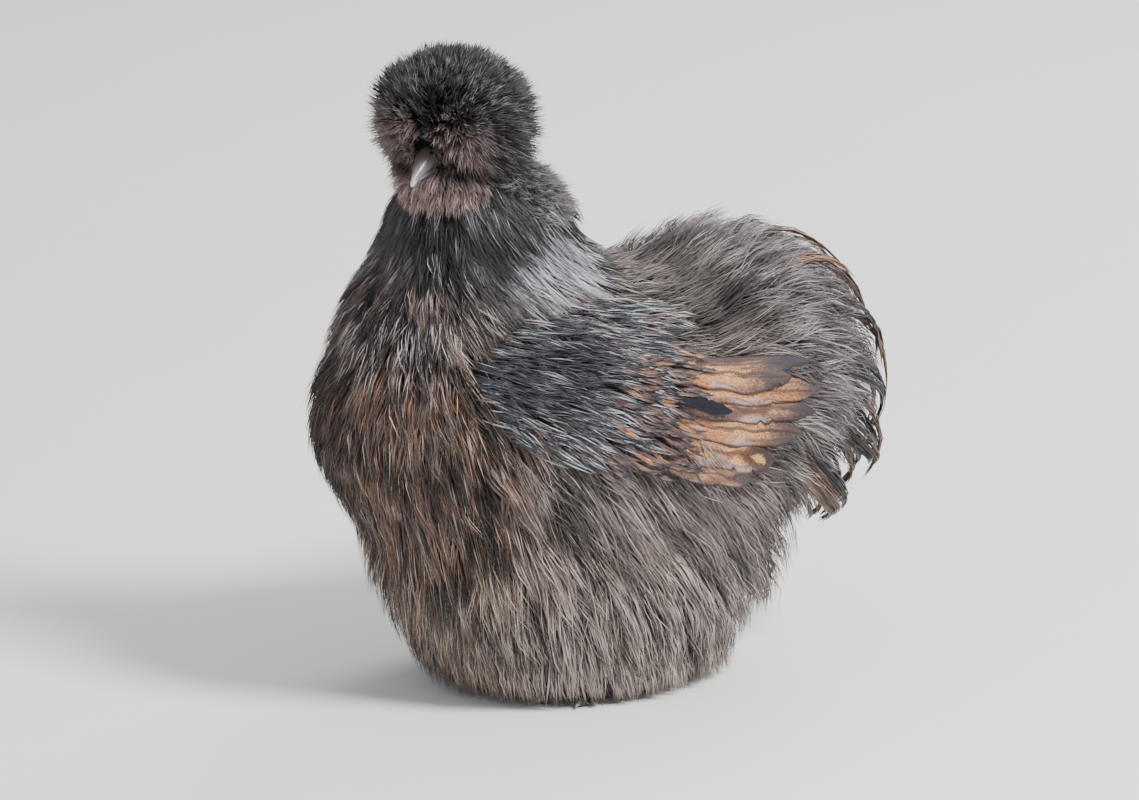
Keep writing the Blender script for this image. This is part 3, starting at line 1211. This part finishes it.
class HEN_OT_skin(bpy.types.Operator):
    """Models the skin as one form from head to hocks, inside the coat, with its own unwrap"""

    bl_idname = "hen.skin"
    bl_label = "Skin"

    def execute(self, context):
        form, colours = context.scene.hen_form, context.scene.hen_colours
        deselect()
        balls = []
        forms = [(centre, half, (0, 0, 0)) for centre, half in FLESH + CREST_FLESH]
        forms += [(by_head(*centre), half, HEAD_TURN.to_euler()) for centre, half in HEAD_FLESH]
        for centre, half, angles in forms:
            bpy.ops.mesh.primitive_uv_sphere_add(
                segments=32,
                ring_count=20,
                radius=1.0,
                location=Vector(centre) * MM + MOVE,
                rotation=angles,
                scale=Vector(half) * MM,
            )
            balls.append(context.object)
        for side, _ in SIDES:
            bpy.ops.mesh.primitive_torus_add(major_radius=LID_RADIUS * MM, minor_radius=LID_THICK * MM)
            lid = context.object
            spot = Matrix.Translation(eye_place(side, out=LID_OUT))
            lid.matrix_world = HEAD @ spot @ Matrix.Rotation(math.radians(90), 4, "Y")
            balls.append(lid)
        select_only(*balls)
        bpy.ops.object.join()
        skin = settle_object(context.object, "hen_skin")
        apply_modifier(skin, "REMESH", mode="VOXEL", voxel_size=form.skin_voxel)
        apply_modifier(skin, "SMOOTH", factor=0.6, iterations=6)
        apply_modifier(skin, "TRIANGULATE")
        select_only(skin)
        bpy.ops.object.shade_smooth()
        bpy.ops.object.mode_set(mode="EDIT")
        bpy.ops.mesh.select_all(action="SELECT")
        bpy.ops.uv.smart_project(angle_limit=math.radians(66), island_margin=0.004)
        bpy.ops.object.mode_set(mode="OBJECT")
        skin.data.uv_layers[0].name = BAKE_MAP
        dress(skin, skin_material(colours), "dark_skin", "head", "neck", "torso")
        return {"FINISHED"}


def skin_map():
    return SkinMap(bpy.data.objects["hen_skin"])


class HEN_OT_crest(bpy.types.Operator):
    """Grows the globe crest from the skull, parted over the beak, the beard, the muffs and the face's down"""

    bl_idname = "hen.crest"
    bl_label = "Crest and beard"

    def execute(self, context):
        form = context.scene.hen_form
        material = crest_material(context.scene.hen_colours)
        lookup = skin_map()

        def crest_area(side):
            """One half of the crest, without the face, the parting and the groove behind the brows."""

            def wanted(p):
                local = head_space(p)
                edge = 7 - 2.2 * np.maximum(np.abs(local[:, 0]) - 11, 0)
                face = (local[:, 1] < -9) & (local[:, 2] < edge)
                low = p[:, 2] < CREST_LOW
                thinned = crest_groove(local) > 0.3 + 0.7 * chance(p)
                return ((local[:, 0] - PARTING_X) * side >= 0) & ~face & ~low & ~thinned

            return wanted

        def sunk(p):
            """How much lower the tufts beside parting and groove end."""
            return 0.4 * crest_groove(head_space(p))

        for side, label in SIDES:
            name = f"crest_coat_{label}"
            kind, count, seed = PIECES[name]
            tips = surface_places(CREST, int(count * form.fullness), seed, crest_area(side))
            obj = grown_piece(name, kind, CREST, tips, seed, lookup, form.strand_width, sunk)
            dress(obj, material, "coat", "crest")

        def beard_area(p):
            """Under and beside the jaw, but not in front of the beak."""
            local = head_space(p)
            ahead = (local[:, 1] < -17) & (local[:, 2] > -15) & (np.abs(local[:, 0]) < 12)
            return ~ahead & (local[:, 2] < 0) & (local[:, 1] < 16)

        def muff_area(p):
            """Behind the cheeks, down to a ragged edge over the hackle."""
            local = head_space(p)
            return (local[:, 1] > -4) & (p[:, 2] < 264) & (p[:, 2] > 229 + 10 * chance(p))

        def face_area(p):
            """Round the eyes and the root of the beak."""
            local = head_space(p)
            beak = (np.abs(local[:, 0]) < 6) & (local[:, 1] < -16)
            return ~beak & (local[:, 1] < -2) & (np.abs(local[:, 2]) < 12)

        lower_pieces = (
            ("beard_coat", BEARD, beard_area, ("beard",)),
            ("muff_coat", MUFF, muff_area, ("beard",)),
            ("face_coat", FACE, face_area, ()),
        )
        for name, pelt, area, nodes in lower_pieces:
            kind, count, seed = PIECES[name]
            tips = surface_places(pelt, int(count * form.fullness), seed, area)
            obj = grown_piece(name, kind, pelt, tips, seed, lookup, form.strand_width)
            dress(obj, material, "coat", *nodes)
        return {"FINISHED"}


class HEN_OT_body_coat(bpy.types.Operator):
    """Grows the hackle, the breast, the flanks, the skirt, the back and the tail cushion"""

    bl_idname = "hen.body_coat"
    bl_label = "Body coat"

    def execute(self, context):
        form = context.scene.hen_form
        material = coat_material(context.scene.hen_colours)
        lookup = skin_map()
        stands_for = {"tail_left": ("tail",), "flank_left": ("leg_left",), "flank_right": ("leg_right",)}

        def lower(p):
            """How much flatter the coat is under the folded wing."""
            return 0.25 * under_wing(p)

        for name, (kind, count, seed) in PIECES.items():
            if kind in HEAD_KINDS:
                continue

            def wanted(p, name=name):
                return on_piece(name, p)

            tips = surface_places(BODY, int(count * form.fullness), seed, wanted)
            obj = grown_piece(name, kind, BODY, tips, seed, lookup, form.strand_width, lower)
            dress(obj, material, "coat", *stands_for.get(name, ()))
        return {"FINISHED"}


def columns_of(rows):
    """Rows of root, tip, half width, level and colour, as one array for each."""
    return [np.array(column, float) for column in zip(*rows)]


def middle_coverts():
    """Narrow pointed feathers strewn between the small coverts and the flights."""
    rows = []
    count, y_range, (bottom, top), lengths, drops, halves, levels = MIDDLE_COVERTS
    rng = np.random.default_rng(44)
    for k in range(count):
        y = rng.uniform(*y_range)
        z = top + (bottom - top) * (k + rng.random()) / count
        y += MIDDLE_LEAN * (z - MIDDLE_HEIGHT) / MIDDLE_RISE
        length, drop = rng.uniform(*lengths), math.radians(rng.uniform(*drops))
        tip = (y + length * math.cos(drop), z - length * math.sin(drop))
        glow = rng.choice(MIDDLE_GLOWS)
        rows.append(((y, z), tip, rng.uniform(*halves), rng.uniform(*levels), glow))
    return columns_of(rows)


def lay_vanes(roots, tips, halves, levels, glow, side):
    """The paths of the smooth wing feathers, from their roots on the flesh to their tips over the coat."""
    aside = np.full(len(roots), side * WING_START)
    rows, outs = [], []
    for t in np.linspace(0.0, 1.0, VANE_PATH):
        y, z = (roots * (1 - t) + tips * t).T
        points = np.column_stack([aside, y, z - VANE_BOW * 4 * t * (1 - t)])
        points, normals = WING.settle(points, np.interp(t, *VANE_LEVELS) * levels, 6)
        rows.append(points)
        outs.append(normals)
    rows[0] = rows[0] - outs[0] * VANE_DEPTH
    paths, outs = np.stack(rows, axis=1), np.stack(outs, axis=1)
    _, across, _ = axes_along(paths, outs)
    lap = math.radians(VANE_LAP) * -side
    return paths, outs * math.cos(lap) + across * math.sin(lap), halves, glow


class HEN_OT_wings(bpy.types.Operator):
    """Lays the folded wings: satin flight feathers and middle coverts under glossy small coverts"""

    bl_idname = "hen.wings"
    bl_label = "Wings"

    def execute(self, context):
        form, colours = context.scene.hen_form, context.scene.hen_colours
        lookup = skin_map()
        flight, covert = flight_material(colours), covert_material(colours)
        for side, label in SIDES:
            rows = (
                ("flight", columns_of(FLIGHT_FEATHERS), FLIGHT_VANE, 50, (f"wing_{label}",)),
                ("middle", middle_coverts(), MIDDLE_VANE, 51, ()),
            )
            for part, feathers, shape, seed, nodes in rows:
                vanes = vanes_object(f"wing_{part}_{label}", *lay_vanes(*feathers, side), shape, seed, lookup)
                select_only(vanes)
                bpy.ops.object.mode_set(mode="EDIT")
                bpy.ops.mesh.select_all(action="SELECT")
                bpy.ops.mesh.normals_make_consistent(inside=False)
                bpy.ops.object.mode_set(mode="OBJECT")
                dress(vanes, flight, "wing_coat", *nodes)

            def wanted(p, side=side):
                """The front of the wing, thinner towards an edge that lies further back higher up."""
                edge = 8 + 0.9 * (p[:, 2] - 150)
                thin = 0.3 + (edge - p[:, 1]) / 40.0
                covers = (under_wing(p) > 0.35) & (p[:, 1] < edge) & (chance(p) < thin)
                return covers & (p[:, 0] * side > 0)

            tips = surface_places(WING, int(COVERT_TUFTS * form.fullness), 60, wanted)
            name = f"wing_coverts_{label}"
            obj = grown_piece(name, "covert", WING, tips, 61, lookup, form.strand_width)
            dress(obj, covert, "wing_coat")
        return {"FINISHED"}


class HEN_OT_plumes(bpy.types.Operator):
    """Sets the long dark plumes that curl over the rim of the tail cushion"""

    bl_idname = "hen.plumes"
    bl_label = "Tail plumes"

    def execute(self, context):
        form = context.scene.hen_form
        lookup = skin_map()
        rng = np.random.default_rng(70)
        kind = KINDS["plume"]
        hanging = rng.random(PLUMES) < 0.4
        rise = np.where(hanging, rng.uniform(-1.25, -0.75, PLUMES), rng.uniform(-0.75, 0.6, PLUMES))
        aside = rng.uniform(-1.0, 1.0, PLUMES)
        back = RIM_MIDDLE[0] + RIM_HALF[0] * np.cos(rise)
        up = RIM_MIDDLE[1] + RIM_HALF[1] * np.sin(rise)
        tips = np.stack([aside * RIM_BREADTH, back, up], axis=1)
        shares = rng.uniform(*kind.shares, PLUMES)
        shares = shares + 0.16 * (rise < -0.7) - 0.08 * (rise > 0.0)
        lengths = rng.uniform(*PLUME_LENGTHS, PLUMES)
        turns = rng.normal(0, kind.sway, PLUMES)
        paths, outs = lay_back(BODY, tips, shares, lengths, turns, kind.shape)
        along = np.array([ring[0] for ring in kind.shape])
        _, across, _ = axes_along(paths, outs)
        bend = along**3 * rng.uniform(-9, 9, (PLUMES, 1))
        lift = along**3 * rng.uniform(-3, 4, (PLUMES, 1))
        paths = paths + across * bend[..., None] + outs * lift[..., None]
        paths[..., 2] = np.maximum(paths[..., 2], PLUME_LOW)
        obj = strands_piece("tail_plumes", kind, paths, outs, rng, lookup, form.strand_width)
        dress(obj, plume_material(), "coat")
        return {"FINISHED"}


def on_leg(side, place):
    """A place on one leg from its Y and Z, in millimetres."""
    return np.array((side * FOOT_X, *place))


def toe_way(side, turn):
    """The level direction of a toe from its turn in degrees."""
    aim = math.radians(turn) * side
    return np.array((math.sin(aim), -math.cos(aim), 0.0))


def toe_spines(side):
    """The shank's and each toe's middle line and radii, in millimetres."""
    top, hock, ankle = (on_leg(side, place) for place in (SHANK_TOP, HOCK, ANKLE))
    spines = [([top, hock, (hock + ankle) / 2, ankle], [SHANK_RADIUS * share for share in SHANK_SHAPE])]
    for turn, length, lift, radius in TOES.values():
        ahead = toe_way(side, turn)
        low = radius * 0.78
        high = radius + 2.0 + lift * 0.3
        line, sizes = [], []
        for t in (0.0, 0.28, 0.52, 0.76, 1.0):
            if lift:
                height = high + (radius * 0.62 + lift - high) * t
            else:
                height = low + (high - low) * (1.0 - t) ** 1.5
            line.append(np.array((ankle[0], ankle[1], height)) + ahead * length * t)
            sizes.append(radius * (1.0 - 0.3 * t))
        spines.append((line, sizes))
    return spines


class HEN_OT_feet(bpy.types.Operator):
    """Models the shanks and the five toes of each foot, scaled on top, and feathers them"""

    bl_idname = "hen.feet"
    bl_label = "Feet"

    def execute(self, context):
        form, colours = context.scene.hen_form, context.scene.hen_colours
        lookup = skin_map()
        material, coat = foot_material(colours), coat_material(colours)
        for side, label in SIDES:
            spines = toe_spines(side)
            deselect()
            made = []
            for line, sizes in spines:
                for k in range(len(line) - 1):
                    a, b = (Vector(p) * MM + MOVE for p in line[k : k + 2])
                    bpy.ops.mesh.primitive_cone_add(
                        vertices=20,
                        radius1=sizes[k] * MM,
                        radius2=sizes[k + 1] * MM,
                        depth=(b - a).length,
                        location=(a + b) / 2,
                        rotation=(b - a).to_track_quat("Z", "Y").to_euler(),
                    )
                    made.append(context.object)
                    bpy.ops.mesh.primitive_uv_sphere_add(
                        segments=20,
                        ring_count=12,
                        radius=sizes[k + 1] * 1.1 * MM,
                        location=b,
                    )
                    made.append(context.object)
            select_only(*made)
            bpy.ops.object.join()
            foot = settle_object(context.object, f"foot_skin_{label}")
            apply_modifier(foot, "REMESH", mode="VOXEL", voxel_size=FOOT_VOXEL * MM)
            apply_modifier(foot, "SMOOTH", factor=0.5, iterations=4)
            self.raise_scutes(foot, spines)
            select_only(foot)
            bpy.ops.object.shade_smooth()
            dress(foot, material, "dark_skin", f"foot_{label}")
            self.feather(side, label, lookup, coat, form)
        return {"FINISHED"}

    def raise_scutes(self, foot, spines):
        """Raises broad scales down the shank and along the toes, and flattens the soles on the floor."""
        mesh = foot.data
        places = np.zeros(len(mesh.vertices) * 3, np.float32)
        normals = places.copy()
        mesh.vertices.foreach_get("co", places)
        mesh.vertices.foreach_get("normal", normals)
        places = (places.reshape(-1, 3) - np.array(MOVE)) / MM
        normals = normals.reshape(-1, 3)
        best, way = np.full(len(places), 1e9), np.zeros(len(places))
        for line, _ in spines:
            gone = 0.0
            for a, b in zip(line, line[1:]):
                step = b - a
                size = np.linalg.norm(step)
                t = np.clip((places - a) @ step / size**2, 0.0, 1.0)
                away = np.linalg.norm(places - a - t[:, None] * step, axis=1)
                closer = away < best
                best = np.where(closer, away, best)
                way = np.where(closer, gone + t * size, way)
                gone += size
        facing = np.clip(normals[:, 2] * 1.4 - normals[:, 1] * 0.8, 0.0, 1.0)
        ridge = SCUTE_HEIGHT * np.abs(np.sin(way * math.pi / SCUTE)) ** 0.6 * facing
        places = (places + normals * ridge[:, None]) * MM + np.array(MOVE)
        places[:, 2] = np.maximum(places[:, 2], 0.0)
        mesh.vertices.foreach_set("co", places.astype(np.float32).ravel())
        mesh.update()

    def feather(self, side, label, lookup, material, form):
        """Sets short tufts on the outer side of the shank and along the outer toe."""
        rng = np.random.default_rng(80)
        kind = KINDS["foot"]
        count = int(FOOT_TUFTS * form.fullness)
        on_shank = rng.random(count) < 0.55
        share = rng.random(count)
        toe_turn, toe_length, _, _ = TOES["outer"]
        ahead = toe_way(side, toe_turn)
        ankle, hock = on_leg(side, ANKLE), on_leg(side, HOCK)
        shank = ankle + (hock - ankle) * share[:, None]
        toe = ankle * (1, 1, 0.3) + ahead * toe_length * share[:, None] * 0.85
        turns = np.radians(rng.uniform(-50, 60, count)) * side
        out_shank = np.column_stack([side * np.cos(turns), side * np.sin(turns), -0.5 * np.ones(count)])
        aside = side * rng.uniform(0.8, 1.6, count)
        out_toe = ahead + np.column_stack([aside, np.full(count, 0.35), np.full(count, -0.08)])
        roots = np.where(on_shank[:, None], shank, toe)
        out = unit_rows(np.where(on_shank[:, None], out_shank, out_toe))
        length = rng.uniform(*FOOT_TUFT_LENGTHS, count)
        along = np.array([ring[0] for ring in kind.shape])
        paths = roots[:, None] + out[:, None] * (length[:, None] * along)[..., None]
        droop = np.minimum(length * 0.35, np.maximum(roots[:, 2] - 1.5, 0))
        paths[..., 2] -= along**2 * droop[:, None]
        paths[..., 2] = np.maximum(paths[..., 2], 0.9)
        outs = np.broadcast_to(np.array((0.0, 0.0, 1.0)), paths.shape)
        obj = strands_piece(f"foot_coat_{label}", kind, paths, outs, rng, lookup, form.strand_width)
        dress(obj, material, "coat")


class HEN_OT_face(bpy.types.Operator):
    """Refines the beak, comb, wattles, ear lobes and claws, and models the eyes"""

    bl_idname = "hen.face"
    bl_label = "Face, eyes and claws"

    def execute(self, context):
        beak, bare = horn_material(context.scene.hen_colours), bare_material()
        claw, eye = claw_material(), eye_material()
        for node in ("beak_upper", "beak_lower"):
            horn, root = refined_copy(node), HEAD @ BEAK_ROOT
            for vertex in horn.data.vertices:
                ahead = (vertex.co - root).dot(BEAK_AIM) / (BEAK_FADE * MM)
                vertex.co += vertex.normal * max(0.0, 1.0 - max(ahead, 0.0)) * BEAK_SWELL * MM
            dress(horn, beak, "horn", node)
        small = ["comb"] + [f"{part}_{label}" for part in ("wattle", "earlobe") for _, label in SIDES]
        for node in small:
            obj = refined_copy(node)
            ruffle(obj, 0.35, 900.0)
            dress(obj, bare, "dark_skin", node)
        for node in sorted(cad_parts):
            if node.startswith("claw"):
                dress(refined_copy(node), claw, "horn", node)
        for side, label in SIDES:
            spot = HEAD @ eye_place(side)
            radius = EYE_RADIUS * MM
            deselect()
            bpy.ops.mesh.primitive_uv_sphere_add(segments=32, ring_count=20, radius=radius, location=spot)
            ball = context.object
            ball.rotation_euler = HEAD_TURN.to_euler()
            ball = settle_object(ball, f"eyeball_{label}")
            aim = eye_aim(side)
            for vertex in ball.data.vertices:
                ahead = (vertex.co - spot).normalized().dot(aim)
                vertex.co += aim * max(0.0, ahead - CORNEA_FROM) * CORNEA_RISE * MM
            select_only(ball)
            bpy.ops.object.shade_smooth()
            dress(ball, eye, "eye", f"eye_{label}")
        return {"FINISHED"}


def refined_copy(node):
    """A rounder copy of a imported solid, its loose faces merged first."""
    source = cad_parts[node]
    obj = bpy.data.objects.new(node + "_fine", source.data.copy())
    bpy.context.scene.collection.objects.link(obj)
    bm = bmesh.new()
    bm.from_mesh(obj.data)
    bmesh.ops.remove_doubles(bm, verts=bm.verts, dist=0.01 * MM)
    bmesh.ops.join_triangles(bm, faces=bm.faces, angle_face_threshold=0.6, angle_shape_threshold=0.7)
    bm.to_mesh(obj.data)
    bm.free()
    apply_modifier(obj, "SUBSURF", levels=2, render_levels=2)
    select_only(obj)
    bpy.ops.object.shade_smooth()
    return obj


def ruffle(obj, height, scale):
    """Raises small folds on a piece of bare skin. Height in millimetres."""
    texture = bpy.data.textures.new(obj.name, "CLOUDS")
    texture.noise_scale = 1.0 / scale
    apply_modifier(obj, "DISPLACE", texture=texture, strength=height * MM, texture_coords="GLOBAL")


class HEN_OT_stage(bpy.types.Operator):
    """Sets up the pale floor, the soft light and the camera"""

    bl_idname = "hen.stage"
    bl_label = "Stage and camera"

    def execute(self, context):
        stage = context.scene.hen_stage
        deselect()
        bpy.ops.mesh.primitive_circle_add(vertices=96, radius=stage.floor_radius, fill_type="NGON")
        floor = settle_object(context.object, "floor")
        finish = Finish("floor", Roughness=0.8)
        cloud = finish.noise(finish.place(), 3.0, 3.0)
        dark = tuple(c * 0.96 for c in stage.floor)
        floor.data.materials.append(finish.use(Base_Color=finish.mix(cloud, dark, tuple(stage.floor))))

        world = bpy.data.worlds.new("studio")
        context.scene.world = world
        world.use_nodes = True
        background = world.node_tree.nodes["Background"]
        background.inputs["Color"].default_value = ROOM_COLOUR
        background.inputs["Strength"].default_value = ROOM_STRENGTH

        lights = (
            ("key", stage.key, 0.8, (1.75, 0.35, 2.0)),
            ("fill", stage.fill, 2.0, (-0.2, -2.2, 1.0)),
            ("rim", stage.rim, 1.2, (-0.9, 1.7, 1.5)),
        )
        for name, strength, size, place in lights:
            bpy.ops.object.light_add(type="AREA", location=place)
            light = context.object
            light.name = light.data.name = name
            light.data.energy = strength
            light.data.shape = "DISK"
            light.data.size = size
            aim = Vector((0, 0, 0.15)) - Vector(place)
            light.rotation_euler = aim.to_track_quat("-Z", "Y").to_euler()

        turn, rise = math.radians(CAMERA_TURN), math.radians(CAMERA_RISE)
        right = Vector((math.cos(turn), math.sin(turn), 0.0))
        back = Vector((math.sin(turn) * math.cos(rise), -math.cos(turn) * math.cos(rise), math.sin(rise)))
        up = back.cross(right)
        centre = MOVE + up * (FLOOR_DOWN * PIXEL) - right * (FLOOR_RIGHT * PIXEL)
        bpy.ops.object.camera_add(location=centre + back * CAMERA_AWAY)
        camera = context.object
        camera.name = "camera"
        camera.rotation_euler = back.to_track_quat("Z", "Y").to_euler()
        camera.data.sensor_width = SENSOR
        camera.data.lens = SENSOR * CAMERA_AWAY / (PIXEL * PHOTO_WIDTH)
        camera.data.clip_end = 60.0
        context.scene.camera = camera
        return {"FINISHED"}


class HEN_PT_panel(bpy.types.Panel):
    bl_label = "Silkie hen"
    bl_idname = "HEN_PT_panel"
    bl_space_type = "VIEW_3D"
    bl_region_type = "UI"
    bl_category = "Hen"

    def draw(self, context):
        layout = self.layout
        for group in (context.scene.hen_form, context.scene.hen_colours, context.scene.hen_stage):
            box = layout.box()
            for key in group.__annotations__:
                box.prop(group, key)
        for operator in OPERATORS:
            layout.operator(operator.bl_idname)


GROUPS = (HenForm, HenColours, HenStage)
OPERATORS = (
    HEN_OT_skin,
    HEN_OT_crest,
    HEN_OT_body_coat,
    HEN_OT_wings,
    HEN_OT_plumes,
    HEN_OT_feet,
    HEN_OT_face,
    HEN_OT_stage,
)


def register():
    for cls in (*GROUPS, *OPERATORS, HEN_PT_panel):
        bpy.utils.register_class(cls)
    bpy.types.Scene.hen_form = PointerProperty(type=HenForm)
    bpy.types.Scene.hen_colours = PointerProperty(type=HenColours)
    bpy.types.Scene.hen_stage = PointerProperty(type=HenStage)


def unregister():
    del bpy.types.Scene.hen_stage
    del bpy.types.Scene.hen_colours
    del bpy.types.Scene.hen_form
    for cls in reversed((*GROUPS, *OPERATORS, HEN_PT_panel)):
        bpy.utils.unregister_class(cls)


def main():
    register()
    bpy.ops.hen.skin()
    bpy.ops.hen.crest()
    bpy.ops.hen.body_coat()
    bpy.ops.hen.wings()
    bpy.ops.hen.plumes()
    bpy.ops.hen.feet()
    bpy.ops.hen.face()
    bpy.ops.hen.stage()


if __name__ == "__main__":
    main()
